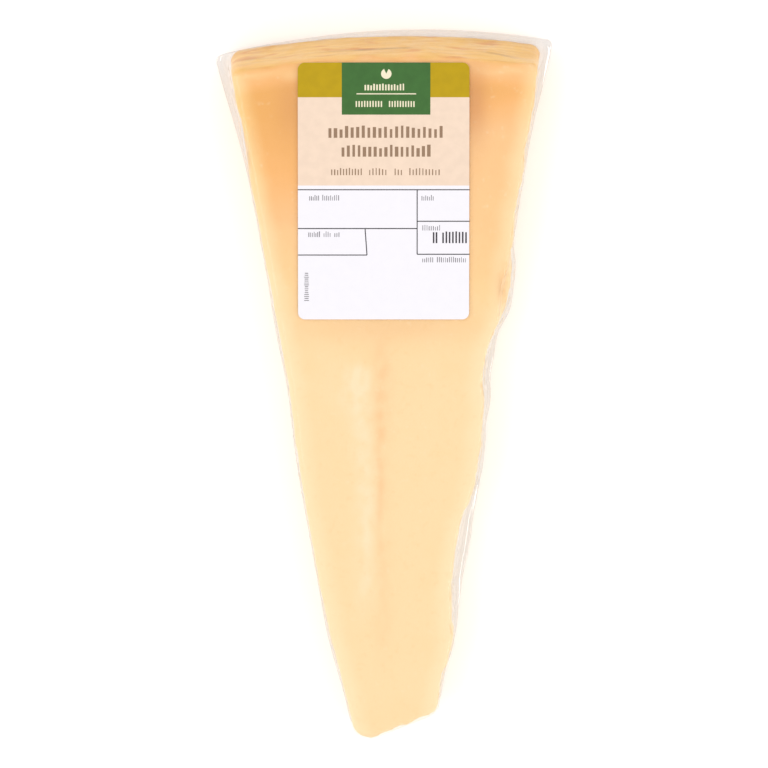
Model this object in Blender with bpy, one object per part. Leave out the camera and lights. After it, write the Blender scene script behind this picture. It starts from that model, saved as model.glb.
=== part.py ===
"""Wedge of hard cheese sealed in tight clear film, with a paper label on its face.

Metres, +Z up. The pack lies on its back: the rind is towards +Y, the cut-off tip towards -Y and the
labelled face is on top. The sealed pack is one closed solid out to the film. A thin welded edge of film
runs round its foot, and the cheese stands up inside that edge.
"""

import math

import bmesh
import bpy
from mathutils import Vector

MM = 0.001

# The wedge, from its flat back at Z = 0 to its labelled face
FACE_HEIGHT = 18.8 * MM
SIDE_ROUND = 2.3 * MM
RIND_ROUND = 0.7 * MM
ROUND_DEPTH = 2.4 * MM

# Its two long sides are straight lines, given at SHOULDER_Y and by how much they close for each metre
SHOULDER_Y = 76.6 * MM
LEFT_AT_SHOULDER = -38.9 * MM
LEFT_CLOSING = 0.1825
RIGHT_AT_SHOULDER = 39.5 * MM
RIGHT_CLOSING = 0.1548

# What stands out of each side (or, below zero, is broken away): middle, half length, depth
LEFT_BELLY = (-42 * MM, 33 * MM, 1.7 * MM)
RIGHT_LOBE = (25 * MM, 9 * MM, 1.7 * MM)
RIGHT_FEATURES = (
    (6 * MM, 9 * MM, -1.7 * MM),
    (-19.5 * MM, 6 * MM, 0.7 * MM),
    (-44 * MM, 13 * MM, -1.7 * MM),
    (-69 * MM, 6 * MM, 0.8 * MM),
)
LOBE_TOP = 15 * MM
LOBE_FADE = 4 * MM

# The rind is part of a round wheel, a little out of square to the wedge. It leans back from foot to face.
RIND_RADIUS = 250 * MM
RIND_CROWN_X = 6 * MM
RIND_Y = 91.5 * MM
RIND_LEAN = 2.8 * MM

# The tip is cut off on a slant, through this point
TIP_X = 2.7 * MM
TIP_Y = -90.6 * MM
TIP_SLOPE = 0.41

# The welded film edge, outside the cheese
FILM_EDGE_HEIGHT = 0.9 * MM
FILM_SIDE = 0.6 * MM
FILM_TIP = 0.8 * MM
FILM_RIND_RADIUS = 205 * MM
FILM_CROWN_X = 10 * MM
FILM_RIND_Y = 92.6 * MM
FILM_LEFT_EXTRA = (
    (88 * MM, 22 * MM, 2.9 * MM),
    (13 * MM, 13 * MM, 0.5 * MM),
    (-72 * MM, 13 * MM, 0.8 * MM),
)
FILM_RIGHT_EXTRA = (
    (88 * MM, 16 * MM, 1.8 * MM),
    (6 * MM, 14 * MM, 1.3 * MM),
    (-43 * MM, 17 * MM, 2.8 * MM),
)

# Corner radii, and how far the film's own corners are sharper
RIND_CORNER = 4 * MM
FILM_RIND_CORNER = 1.5 * MM
TIP_LEFT_CORNER = 6.5 * MM
TIP_RIGHT_CORNER = 2.4 * MM

# Label, a little clear of the face
LABEL_SIZE = (44.4 * MM, 67.3 * MM)
LABEL_CORNER = 1.8 * MM
LABEL_THICKNESS = 0.2 * MM
LABEL_CENTRE = (-0.1 * MM, 52.8 * MM)
LABEL_GAP = 0.3 * MM
LABEL_ARC_STEPS = 6

# Points along each edge of a section, and heights up the wall and round the face's rim
SIDE_STEPS = 46
RIND_STEPS = 26
TIP_STEPS = 6
CORNER_STEPS = 6
WALL_LEVELS = ((2.2 * MM, 0.35), (5.0 * MM, 0.1), (9.5 * MM, 0.0), (14.0 * MM, 0.0))
ROUND_STEPS = 4
CORNER_SOLVES = 12

CHEESE_COLOR = (0.96, 0.73, 0.42, 1.0)
PAPER_COLOR = (0.94, 0.92, 0.90, 1.0)


def clear_scene():
    """Removes every object of the scene that Blender starts with."""
    for thing in list(bpy.data.objects):
        bpy.data.objects.remove(thing, do_unlink=True)


def swell(position, feature):
    """How far a feature stands out at a position along the side: full at its middle, flat-topped."""
    middle, half_length, depth = feature
    return depth * math.exp(-(((position - middle) / half_length) ** 4))


def film_extra(position, features):
    """How much wider the film's edge is at a position along the side, as soft round swellings."""
    return sum(
        depth * math.exp(-(((position - middle) / half_length) ** 2))
        for middle, half_length, depth in features
    )


def between(low, high, value):
    """0 below low, 1 above high and a smooth rise between them."""
    share = min(max((value - low) / (high - low), 0.0), 1.0)
    return share * share * (3 - 2 * share)


class Section:
    """One level outline of the sealed pack.

    film is 1 at the welded edge and 0 where the film lies on the cheese. rounding is how much of the
    face's rounded rim is taken off all round, from 0 to 1.
    """

    def __init__(self, height, film, rounding):
        self.height = height
        self.film = film
        self.rounding = rounding

    def left(self, y):
        """X of the left side."""
        x = LEFT_AT_SHOULDER + (SHOULDER_Y - y) * LEFT_CLOSING - swell(y, LEFT_BELLY)
        x -= self.film * (FILM_SIDE + film_extra(y, FILM_LEFT_EXTRA))
        return x + self.rounding * SIDE_ROUND

    def right(self, y):
        """X of the right side. Its lobe fades out below the face."""
        x = RIGHT_AT_SHOULDER - (SHOULDER_Y - y) * RIGHT_CLOSING
        x += sum(swell(y, feature) for feature in RIGHT_FEATURES)
        x += swell(y, RIGHT_LOBE) * (1 - between(LOBE_TOP - LOBE_FADE, LOBE_TOP, self.height))
        x += self.film * (FILM_SIDE + film_extra(y, FILM_RIGHT_EXTRA))
        return x - self.rounding * SIDE_ROUND

    def rind(self, x):
        """Y of the rind's arc."""
        lean = RIND_LEAN * self.height / FACE_HEIGHT
        cheese = RIND_Y - lean - (x - RIND_CROWN_X) ** 2 / (2 * RIND_RADIUS)
        film = FILM_RIND_Y - (x - FILM_CROWN_X) ** 2 / (2 * FILM_RIND_RADIUS)
        return cheese + self.film * (film - cheese) - self.rounding * RIND_ROUND

    def tip(self, x):
        """Y of the slanting cut across the tip."""
        return TIP_Y + (x - TIP_X) * TIP_SLOPE - self.film * FILM_TIP + self.rounding * SIDE_ROUND

    def corner(self, side, end, y):
        """Where a side meets an end, starting from a Y near it."""
        for _ in range(CORNER_SOLVES):
            y = end(side(y))
        return Vector((side(y), y))

    def points(self):
        """The outline's points, anticlockwise from above, as many for every section."""
        rind_radius = RIND_CORNER + self.film * (FILM_RIND_CORNER - RIND_CORNER)
        rind_left = self.corner(self.left, self.rind, RIND_Y)
        rind_right = self.corner(self.right, self.rind, RIND_Y)
        tip_left = self.corner(self.left, self.tip, TIP_Y)
        tip_right = self.corner(self.right, self.tip, TIP_Y)
        right_side = [
            Vector((self.right(y), y))
            for y in steps(tip_right.y + TIP_RIGHT_CORNER, rind_right.y - rind_radius, SIDE_STEPS)
        ]
        rind_arc = [
            Vector((x, self.rind(x)))
            for x in steps(rind_right.x - rind_radius, rind_left.x + rind_radius, RIND_STEPS)
        ]
        left_side = [
            Vector((self.left(y), y))
            for y in steps(rind_left.y - rind_radius, tip_left.y + TIP_LEFT_CORNER, SIDE_STEPS)
        ]
        tip_cut = [
            Vector((x, self.tip(x)))
            for x in steps(tip_left.x + TIP_LEFT_CORNER, tip_right.x - TIP_RIGHT_CORNER, TIP_STEPS)
        ]
        runs = (right_side, rind_arc, left_side, tip_cut)
        corners = (rind_right, rind_left, tip_left, tip_right)
        outline = []
        for index, run in enumerate(runs):
            following = runs[(index + 1) % len(runs)]
            outline += run + rounded(run[-1], corners[index], following[0])
        return outline


def steps(start, end, count):
    """count values from start to end, both included."""
    return [start + (end - start) * index / (count - 1) for index in range(count)]


def rounded(start, corner, end):
    """The points strictly between start and end on a smooth curve that the corner pulls towards itself."""
    found = []
    for index in range(1, CORNER_STEPS):
        share = index / CORNER_STEPS
        found.append(start * (1 - share) ** 2 + corner * 2 * share * (1 - share) + end * share**2)
    return found


def pack_sections():
    """The pack's sections from its flat back up to its face."""
    sections = [
        Section(0.0, 0.85, 0.0),
        Section(FILM_EDGE_HEIGHT / 2, 1.0, 0.0),
        Section(FILM_EDGE_HEIGHT, 0.9, 0.0),
    ]
    sections += [Section(height, film, 0.0) for height, film in WALL_LEVELS]
    for index in range(ROUND_STEPS + 1):
        angle = math.pi / 2 * index / ROUND_STEPS
        height = FACE_HEIGHT - ROUND_DEPTH * (1 - math.sin(angle))
        sections.append(Section(height, 0.0, 1 - math.cos(angle)))
    return sections


def material(name, color, roughness):
    """A plain Principled material."""
    made = bpy.data.materials.new(name)
    made.use_nodes = True
    shader = made.node_tree.nodes["Principled BSDF"]
    shader.inputs["Base Color"].default_value = color
    shader.inputs["Roughness"].default_value = roughness
    shader.inputs["Metallic"].default_value = 0.0
    return made


def sealed_pack():
    """The film and the cheese in it as one solid: a loft through the pack's unlike sections."""
    shape = bmesh.new()
    rings = []
    for section in pack_sections():
        ring = [shape.verts.new((point.x, point.y, section.height)) for point in section.points()]
        rings.append(ring)
    for low, high in zip(rings, rings[1:]):
        for index in range(len(low)):
            after = (index + 1) % len(low)
            shape.faces.new((low[index], low[after], high[after], high[index]))
    shape.faces.new(reversed(rings[0]))
    shape.faces.new(rings[-1])
    mesh = bpy.data.meshes.new("sealed_pack")
    shape.to_mesh(mesh)
    shape.free()
    mesh.shade_smooth()
    mesh.set_sharp_from_angle(angle=math.radians(40))
    mesh.materials.append(material("sealed_cheese", CHEESE_COLOR, 0.35))
    return bpy.data.objects.new("sealed_pack", mesh)


def label_outline():
    """The label's outline round its own centre, with an arc at each corner."""
    half_width = LABEL_SIZE[0] / 2 - LABEL_CORNER
    half_height = LABEL_SIZE[1] / 2 - LABEL_CORNER
    signs = ((1, 1), (-1, 1), (-1, -1), (1, -1))
    outline = []
    for quarter, (across, along) in enumerate(signs):
        for index in range(LABEL_ARC_STEPS + 1):
            angle = math.pi / 2 * (quarter + index / LABEL_ARC_STEPS)
            x = across * half_width + LABEL_CORNER * math.cos(angle)
            y = along * half_height + LABEL_CORNER * math.sin(angle)
            outline.append((x, y))
    return outline


def label():
    """The paper label: a filled flat outline given its thickness."""
    curve = bpy.data.curves.new("label", "CURVE")
    curve.dimensions = "2D"
    curve.fill_mode = "BOTH"
    curve.extrude = LABEL_THICKNESS / 2
    outline = label_outline()
    spline = curve.splines.new("POLY")
    spline.points.add(len(outline) - 1)
    for point, (x, y) in zip(spline.points, outline):
        point.co = (x, y, 0.0, 1.0)
    spline.use_cyclic_u = True
    curve.materials.append(material("label_paper", PAPER_COLOR, 0.45))
    made = bpy.data.objects.new("label", curve)
    made.location = (*LABEL_CENTRE, FACE_HEIGHT + LABEL_GAP + LABEL_THICKNESS / 2)
    return made


def centre_over_origin(outer, things):
    """Moves the things together so that the outer one's box is centred over the origin."""
    xs = [vertex.co.x for vertex in outer.data.vertices]
    ys = [vertex.co.y for vertex in outer.data.vertices]
    shift = Vector((-(min(xs) + max(xs)) / 2, -(min(ys) + max(ys)) / 2, 0.0))
    for thing in things:
        thing.location += shift


def main():
    """Builds the sealed pack and its label in one collection."""
    clear_scene()
    collection = bpy.data.collections.new("cheese_wedge_pack")
    bpy.context.scene.collection.children.link(collection)
    pack = sealed_pack()
    things = (pack, label())
    for thing in things:
        collection.objects.link(thing)
    centre_over_origin(pack, things)


main()
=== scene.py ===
"""Looks of a wedge of hard cheese sealed in tight clear film, with a paper label on its face.

The wedge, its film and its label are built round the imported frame, in metres. The rind is towards +Y,
the cut-off tip towards -Y and the labelled face is up. The wedge's outline comes from the same named
sizes as the frame's solid, so each piece falls on the solid that it replaces.
"""

import logging
import math
from dataclasses import dataclass, field
from enum import Enum
from typing import Any

import bpy
import numpy as np
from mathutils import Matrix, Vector, noise


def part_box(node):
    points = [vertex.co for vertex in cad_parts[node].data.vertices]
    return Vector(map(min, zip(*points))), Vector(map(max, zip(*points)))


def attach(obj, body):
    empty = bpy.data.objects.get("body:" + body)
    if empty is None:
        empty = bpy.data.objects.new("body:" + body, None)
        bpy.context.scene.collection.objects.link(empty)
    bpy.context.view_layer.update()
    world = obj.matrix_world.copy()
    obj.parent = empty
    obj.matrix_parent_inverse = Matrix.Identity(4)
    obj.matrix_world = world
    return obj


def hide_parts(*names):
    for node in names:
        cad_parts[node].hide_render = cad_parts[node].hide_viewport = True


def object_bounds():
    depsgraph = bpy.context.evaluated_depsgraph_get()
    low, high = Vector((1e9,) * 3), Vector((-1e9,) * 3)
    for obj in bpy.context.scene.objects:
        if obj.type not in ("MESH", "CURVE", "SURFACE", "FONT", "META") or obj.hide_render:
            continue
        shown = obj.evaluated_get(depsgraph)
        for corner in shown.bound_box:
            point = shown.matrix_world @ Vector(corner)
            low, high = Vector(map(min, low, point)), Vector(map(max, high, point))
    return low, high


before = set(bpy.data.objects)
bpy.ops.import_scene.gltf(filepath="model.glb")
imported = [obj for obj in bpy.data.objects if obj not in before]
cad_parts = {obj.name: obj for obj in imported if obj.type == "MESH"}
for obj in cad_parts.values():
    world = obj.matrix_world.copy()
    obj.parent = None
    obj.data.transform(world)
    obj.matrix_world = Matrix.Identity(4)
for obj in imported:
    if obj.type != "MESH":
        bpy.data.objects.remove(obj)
CAD_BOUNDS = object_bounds()
BODY = "root"
MM = 0.001
LOG = logging.getLogger("cheese_pack")

Color = tuple[float, float, float, float]
Array = np.ndarray
Outline = list[tuple[float, float]]


def srgb(red: int, green: int, blue: int) -> Color:
    """Gives a shader's linear colour for a colour in 8-bit steps.

    Args:
        red: red, 0 to 255.
        green: green, 0 to 255.
        blue: blue, 0 to 255.

    Returns:
        The linear colour, with full alpha.
    """
    linear = []
    for channel in (red, green, blue):
        share = channel / 255
        linear.append(share / 12.92 if share <= 0.04045 else ((share + 0.055) / 1.055) ** 2.4)
    return (linear[0], linear[1], linear[2], 1.0)


def rise(low: float, high: float, value: Array) -> Array:
    """Gives a smooth rise from 0 at low to 1 at high, which may be the lower of the two."""
    share = np.clip((value - low) / (high - low), 0.0, 1.0)
    return share * share * (3 - 2 * share)


def band(value: Array, centre: Any, half: float) -> Array:
    """Gives a soft band, 1 where the value is at the centre and about a third at its half width."""
    return np.exp(-(((value - centre) / half) ** 2))


def wander(points: Array, size: float, seed: float) -> Array:
    """Gives smooth noise, about -0.5 to 0.5, at each point.

    Args:
        points: one row of three for each point.
        size: the size of the noise's lumps.
        seed: moves the noise, so that two calls differ.

    Returns:
        A value for each point.
    """
    shift = Vector((seed * 7.13, seed * 3.71, seed * 5.39))
    scaled = points / size
    return np.array([noise.noise(Vector(point) + shift) for point in scaled.tolist()]) * 0.5


@dataclass(frozen=True)
class Spot:
    """A soft oval patch, with its strength at the centre. It has faded to about a third at its halves."""

    x: float
    y: float
    half_width: float
    half_length: float
    strength: float = 1.0

    def at(self, x: Array, y: Array) -> Array:
        """Gives the patch's strength at each position."""
        faded = -(((x - self.x) / self.half_width) ** 2) - ((y - self.y) / self.half_length) ** 2
        return self.strength * np.exp(faded)


# --- The wedge's form -------------------------------------------------------------------------------


@dataclass(frozen=True)
class Swell:
    """A stretch of a side that stands out from its straight line, or falls back if depth is below 0."""

    middle: float
    half_length: float
    depth: float
    power: int = 4

    def at(self, position: Array) -> Array:
        """Gives how far it stands out at each position along the side."""
        return self.depth * np.exp(-(np.abs((position - self.middle) / self.half_length) ** self.power))


@dataclass(frozen=True)
class Level:
    """One level of a closed skin round the wedge.

    film is 1 at the welded edge and 0 where the film lies on the cheese. rounding is how much of the
    face's rounded rim is taken off, from 0 to 1.
    """

    height: float
    film: float = 0.0
    rounding: float = 0.0


@dataclass(frozen=True)
class WedgeForm:
    """The pack's outline at any height. inward shrinks it all round, for what lies inside the film."""

    inward: float = 0.0
    face_height: float = 18.8 * MM
    side_round: float = 2.3 * MM
    rind_round: float = 0.7 * MM
    round_depth: float = 2.4 * MM
    shoulder_y: float = 76.6 * MM
    left_at_shoulder: float = -38.9 * MM
    left_closing: float = 0.1825
    right_at_shoulder: float = 39.5 * MM
    right_closing: float = 0.1548
    left_belly: Swell = Swell(-42 * MM, 33 * MM, 1.7 * MM)
    right_lobe: Swell = Swell(25 * MM, 9 * MM, 1.7 * MM)
    right_features: tuple[Swell, ...] = (
        Swell(6 * MM, 9 * MM, -1.7 * MM),
        Swell(-19.5 * MM, 6 * MM, 0.7 * MM),
        Swell(-44 * MM, 13 * MM, -1.7 * MM),
        Swell(-69 * MM, 6 * MM, 0.8 * MM),
    )
    lobe_top: float = 15 * MM
    lobe_fade: float = 4 * MM
    rind_radius: float = 250 * MM
    rind_crown_x: float = 6 * MM
    rind_y: float = 91.5 * MM
    rind_lean: float = 2.8 * MM
    tip_x: float = 2.7 * MM
    tip_y: float = -90.6 * MM
    tip_slope: float = 0.41
    film_side: float = 0.6 * MM
    film_tip: float = 0.8 * MM
    film_rind_radius: float = 205 * MM
    film_crown_x: float = 10 * MM
    film_rind_y: float = 92.6 * MM
    film_left_extra: tuple[Swell, ...] = (
        Swell(88 * MM, 22 * MM, 2.9 * MM, 2),
        Swell(13 * MM, 13 * MM, 0.5 * MM, 2),
        Swell(-72 * MM, 13 * MM, 0.8 * MM, 2),
    )
    film_right_extra: tuple[Swell, ...] = (
        Swell(88 * MM, 16 * MM, 1.8 * MM, 2),
        Swell(6 * MM, 14 * MM, 1.3 * MM, 2),
        Swell(-43 * MM, 17 * MM, 2.8 * MM, 2),
    )
    rind_corner: float = 2.8 * MM
    film_rind_corner: float = 1.5 * MM
    tip_left_corner: float = 6.5 * MM
    tip_right_corner: float = 2.4 * MM

    def left(self, y: Array, level: Level) -> Array:
        """Gives the left side's X.

        Args:
            y: positions along the wedge.
            level: the level.

        Returns:
            X at each position.
        """
        x = self.left_at_shoulder + (self.shoulder_y - y) * self.left_closing - self.left_belly.at(y)
        x = x - level.film * (self.film_side + sum(swell.at(y) for swell in self.film_left_extra))
        return x + level.rounding * self.side_round + self.inward

    def right(self, y: Array, level: Level) -> Array:
        """Gives the right side's X, whose lobe fades out below the face.

        Args:
            y: positions along the wedge.
            level: the level.

        Returns:
            X at each position.
        """
        x = self.right_at_shoulder - (self.shoulder_y - y) * self.right_closing
        x = x + sum(swell.at(y) for swell in self.right_features)
        fade = rise(self.lobe_top - self.lobe_fade, self.lobe_top, np.asarray(level.height))
        x = x + self.right_lobe.at(y) * (1 - fade)
        x = x + level.film * (self.film_side + sum(swell.at(y) for swell in self.film_right_extra))
        return x - level.rounding * self.side_round - self.inward

    def rind(self, x: Array, level: Level) -> Array:
        """Gives the Y of the rind's arc, which leans back from foot to face.

        Args:
            x: positions across the wedge.
            level: the level.

        Returns:
            Y at each position.
        """
        lean = self.rind_lean * level.height / self.face_height
        cheese = self.rind_y - lean - (x - self.rind_crown_x) ** 2 / (2 * self.rind_radius)
        film = self.film_rind_y - (x - self.film_crown_x) ** 2 / (2 * self.film_rind_radius)
        return cheese + level.film * (film - cheese) - level.rounding * self.rind_round - self.inward

    def tip(self, x: Array, level: Level) -> Array:
        """Gives the Y of the slanting cut across the tip, at each X."""
        y = self.tip_y + (x - self.tip_x) * self.tip_slope - level.film * self.film_tip
        return y + level.rounding * self.side_round + self.inward

    def corners(self, level: Level) -> tuple[tuple[bool, bool, float], ...]:
        """Gives each corner as whether it is on the right, whether it is at the rind, and its radius.

        Args:
            level: the level.

        Returns:
            The four corners.
        """
        at_rind = self.rind_corner + level.film * (self.film_rind_corner - self.rind_corner)
        return (
            (False, False, self.tip_left_corner),
            (True, False, self.tip_right_corner),
            (False, True, at_rind),
            (True, True, at_rind),
        )

    def plan(self, u: Array, v: Array, level: Level) -> tuple[Array, Array]:
        """Places points of a unit square on one level of the wedge, with its corners rounded.

        Args:
            u: 0 at the left side to 1 at the right.
            v: 0 at the tip to 1 at the rind.
            level: the level.

        Returns:
            X and Y of each point.
        """
        x, y = self._square_plan(u, v, level)
        width = self.right(y, level) - self.left(y, level)
        length = self.rind(x, level) - self.tip(x, level)
        across, along = u * width, v * length
        for on_right, at_rind, radius in self.corners(level):
            a = width - across if on_right else across
            b = length - along if at_rind else along
            s, t = np.clip(1 - a / radius, 0, 1), np.clip(1 - b / radius, 0, 1)
            inside = (s > 0) & (t > 0)
            a = np.where(inside, radius * (1 - s * np.sqrt(1 - t * t / 2)), a)
            b = np.where(inside, radius * (1 - t * np.sqrt(1 - s * s / 2)), b)
            across = width - a if on_right else a
            along = length - b if at_rind else b
        return self._square_plan(across / width, along / length, level)

    def _square_plan(self, u: Array, v: Array, level: Level) -> tuple[Array, Array]:
        """Places points between the four curved edges of a level, with sharp corners.

        Args:
            u: 0 at the left side to 1 at the right.
            v: 0 at the tip to 1 at the rind.
            level: the level.

        Returns:
            X and Y of each point.
        """
        x = np.zeros_like(u)
        y = np.zeros_like(u)
        for _ in range(8):
            y = self.tip(x, level) * (1 - v) + self.rind(x, level) * v
            x = self.left(y, level) * (1 - u) + self.right(y, level) * u
        return x, y

    def rim_levels(self, count: int) -> list[Level]:
        """Gives the levels round the face's rounded rim, the last of them the face itself.

        Args:
            count: how many steps the quarter turn has.

        Returns:
            The levels, from below upwards.
        """
        levels = []
        for index in range(count + 1):
            angle = math.pi / 2 * index / count
            height = self.face_height - self.inward - self.round_depth * (1 - math.sin(angle))
            levels.append(Level(height, 0.0, 1 - math.cos(angle)))
        return levels

    def middle(self) -> tuple[float, float]:
        """Gives the middle of the welded edge's box, which the frame's solid has over its origin.

        Returns:
            Its X and Y.
        """
        edge = Level(0.45 * MM, 1.0, 0.0)
        turn = np.linspace(0, 1, 400)
        ends = np.concatenate([np.zeros(400), np.ones(400)])
        u = np.concatenate([np.concatenate([turn, turn]), ends])
        v = np.concatenate([ends, np.concatenate([turn, turn])])
        x, y = self.plan(u, v, edge)
        return float(x.min() + x.max()) / 2, float(y.min() + y.max()) / 2


@dataclass
class Skin:
    """A closed surface of square-ish cells round the wedge: a back, a wall of levels and a face."""

    form: WedgeForm
    levels: list[Level]
    across: int
    along: int
    points: Array = field(init=False)
    faces: list[tuple[int, ...]] = field(init=False)
    u: Array = field(init=False)
    v: Array = field(init=False)
    height: Array = field(init=False)

    def __post_init__(self) -> None:
        """Lays out the points and the faces."""
        grid_u, grid_v = np.meshgrid(
            np.linspace(0, 1, self.across + 1), np.linspace(0, 1, self.along + 1), indexing="ij"
        )
        grid_u, grid_v = grid_u.ravel(), grid_v.ravel()
        border = self._border()
        rows_u = [grid_u] + [grid_u[border] for _ in self.levels[1:-1]] + [grid_u]
        rows_v = [grid_v] + [grid_v[border] for _ in self.levels[1:-1]] + [grid_v]
        rows = []
        for level, u, v in zip(self.levels, rows_u, rows_v):
            x, y = self.form.plan(u, v, level)
            rows.append(np.column_stack([x, y, np.full(len(x), level.height)]))
        self.points = np.concatenate(rows)
        self.u, self.v = np.concatenate(rows_u), np.concatenate(rows_v)
        self.height = self.points[:, 2].copy()
        starts = np.cumsum([0] + [len(row) for row in rows])
        face_start = int(starts[-2])
        rings = [list(border)]
        rings += [list(range(starts[k], starts[k + 1])) for k in range(1, len(rows) - 1)]
        rings.append([face_start + index for index in border])
        self.faces = self._grid_faces(0, True) + self._grid_faces(face_start, False)
        for low, high in zip(rings, rings[1:]):
            for index in range(len(low)):
                after = (index + 1) % len(low)
                self.faces.append((low[index], low[after], high[after], high[index]))

    def _border(self) -> list[int]:
        """Gives the grid's border points, anticlockwise from above.

        Returns:
            The points' numbers.
        """
        rows, last = self.along + 1, self.along
        tip = [i * rows for i in range(self.across)]
        right = [self.across * rows + j for j in range(last)]
        rind = [i * rows + last for i in range(self.across, 0, -1)]
        left = [j for j in range(last, 0, -1)]
        return tip + right + rind + left

    def _grid_faces(self, start: int, turned: bool) -> list[tuple[int, ...]]:
        """Gives a grid's faces.

        Args:
            start: the number of the grid's first point.
            turned: whether the faces point down.

        Returns:
            Four point numbers for each face.
        """
        rows = self.along + 1
        found = []
        for i in range(self.across):
            for j in range(self.along):
                a = start + i * rows + j
                face = (a, a + rows, a + rows + 1, a + 1)
                found.append(face[::-1] if turned else face)
        return found

    def normals(self) -> Array:
        """Gives the outward direction at each point.

        Returns:
            One row of three for each point.
        """
        mesh = self.mesh("measure")
        directions = np.empty(len(self.points) * 3, np.float32)
        mesh.vertices.foreach_get("normal", directions)
        bpy.data.meshes.remove(mesh)
        return directions.reshape(-1, 3).astype(float)

    def push(self, distance: Array) -> None:
        """Moves each point outwards by its own distance."""
        self.points = self.points + self.normals() * distance[:, None]

    def mesh(self, name: str, place: tuple[float, float] = (0.0, 0.0)) -> bpy.types.Mesh:
        """Makes the mesh.

        Args:
            name: the mesh's name.
            place: how far the whole is moved in X and Y.

        Returns:
            The new mesh, smooth shaded.
        """
        made = bpy.data.meshes.new(name)
        made.from_pydata((self.points + np.array([place[0], place[1], 0.0])).tolist(), [], self.faces)
        made.update()
        made.shade_smooth()
        return made


# --- Node trees -------------------------------------------------------------------------------------


class Graph:
    """A short way to add nodes to a tree and to join them. A clamped one keeps sums between 0 and 1."""

    clamped = False

    def __init__(self, tree: bpy.types.NodeTree) -> None:
        """Starts on a shader tree or a geometry tree."""
        self.tree = tree

    def add(self, kind: str, inputs: dict[Any, Any] | None = None, **settings: Any) -> bpy.types.Node:
        """Adds a node.

        Args:
            kind: the node's type.
            inputs: a value or an output for each input, by its name or number.
            settings: the node's own properties.

        Returns:
            The node.
        """
        node = self.tree.nodes.new(kind)
        for name, value in settings.items():
            setattr(node, name, value)
        for key, value in (inputs or {}).items():
            if isinstance(value, bpy.types.NodeSocket):
                self.tree.links.new(value, node.inputs[key])
            else:
                node.inputs[key].default_value = value
        return node

    def math(self, operation: str, *values: Any) -> bpy.types.NodeSocket:
        """Works out one step of arithmetic on numbers and outputs."""
        inputs = dict(enumerate(values))
        return self.add("ShaderNodeMath", inputs, operation=operation, use_clamp=self.clamped).outputs[0]


class ShaderGraph(Graph):
    """A material's tree, with the steps that this pack's finishes share."""

    clamped = True

    def __init__(self, name: str) -> None:
        """Starts an empty material.

        Args:
            name: the material's name.
        """
        self.material = bpy.data.materials.new(name)
        self.material.use_nodes = True
        self.material.node_tree.nodes.clear()
        super().__init__(self.material.node_tree)
        self.place = self.add("ShaderNodeTexCoord").outputs["Object"]

    def attribute(self, name: str) -> bpy.types.NodeSocket:
        """Reads a value that the mesh holds at each point, by its attribute's name."""
        return self.add("ShaderNodeAttribute", attribute_name=name).outputs["Fac"]

    def lumps(
        self, size: float, detail: float = 3.0, stretch: tuple[float, float, float] = (1, 1, 1)
    ) -> bpy.types.NodeSocket:
        """Makes smooth noise in the object's own space.

        Args:
            size: the size of its lumps in metres.
            detail: how many finer layers it has.
            stretch: how many times longer the lumps are in X, Y and Z.

        Returns:
            The noise's output, about 0.5 on average.
        """
        scale = [1 / (size * factor) for factor in stretch]
        mapping = self.add("ShaderNodeMapping", {"Vector": self.place, "Scale": scale})
        inputs = {"Vector": mapping.outputs[0], "Scale": 1.0, "Detail": detail}
        return self.add("ShaderNodeTexNoise", inputs).outputs["Fac"]

    def window(self, value: Any, low: float, high: float) -> bpy.types.NodeSocket:
        """Turns a value into a share, smoothly: what is at low becomes 0 and what is at high 1."""
        inputs = {"Value": value, "From Min": low, "From Max": high}
        return self.add("ShaderNodeMapRange", inputs, interpolation_type="SMOOTHSTEP").outputs["Result"]

    def mix(self, share: Any, first: Any, second: Any) -> bpy.types.NodeSocket:
        """Mixes two colours.

        Args:
            share: how much of the second there is.
            first: a colour or an output.
            second: a colour or an output.

        Returns:
            The mixed colour's output.
        """
        node = self.add("ShaderNodeMix", data_type="RGBA")
        for key, value in ((0, share), (6, first), (7, second)):
            if isinstance(value, bpy.types.NodeSocket):
                self.tree.links.new(value, node.inputs[key])
            else:
                node.inputs[key].default_value = value
        return node.outputs[2]

    def ramp(self, share: bpy.types.NodeSocket, stops: dict[float, Color]) -> bpy.types.NodeSocket:
        """Turns a share into a colour.

        Args:
            share: the share's output.
            stops: the colour at each share, in order.

        Returns:
            The colour's output.
        """
        node = self.add("ShaderNodeValToRGB", {"Fac": share})
        elements = node.color_ramp.elements
        while len(elements) > 1:
            elements.remove(elements[-1])
        for index, (position, color) in enumerate(stops.items()):
            element = elements[0] if index == 0 else elements.new(position)
            element.position = position
            element.color = color
        return node.outputs["Color"]

    def bump(self, height: bpy.types.NodeSocket, depth: float, strength: float = 1.0) -> bpy.types.NodeSocket:
        """Turns a height of 0 to 1 into a bumped normal, where 1 stands for the depth."""
        inputs = {"Height": height, "Distance": depth, "Strength": strength}
        return self.add("ShaderNodeBump", inputs).outputs[0]

    def finish(self, shader: bpy.types.Node) -> bpy.types.Material:
        """Joins the last shader node to the material's output, and gives the material."""
        self.add("ShaderNodeOutputMaterial", {"Surface": shader.outputs[0]})
        return self.material


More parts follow.
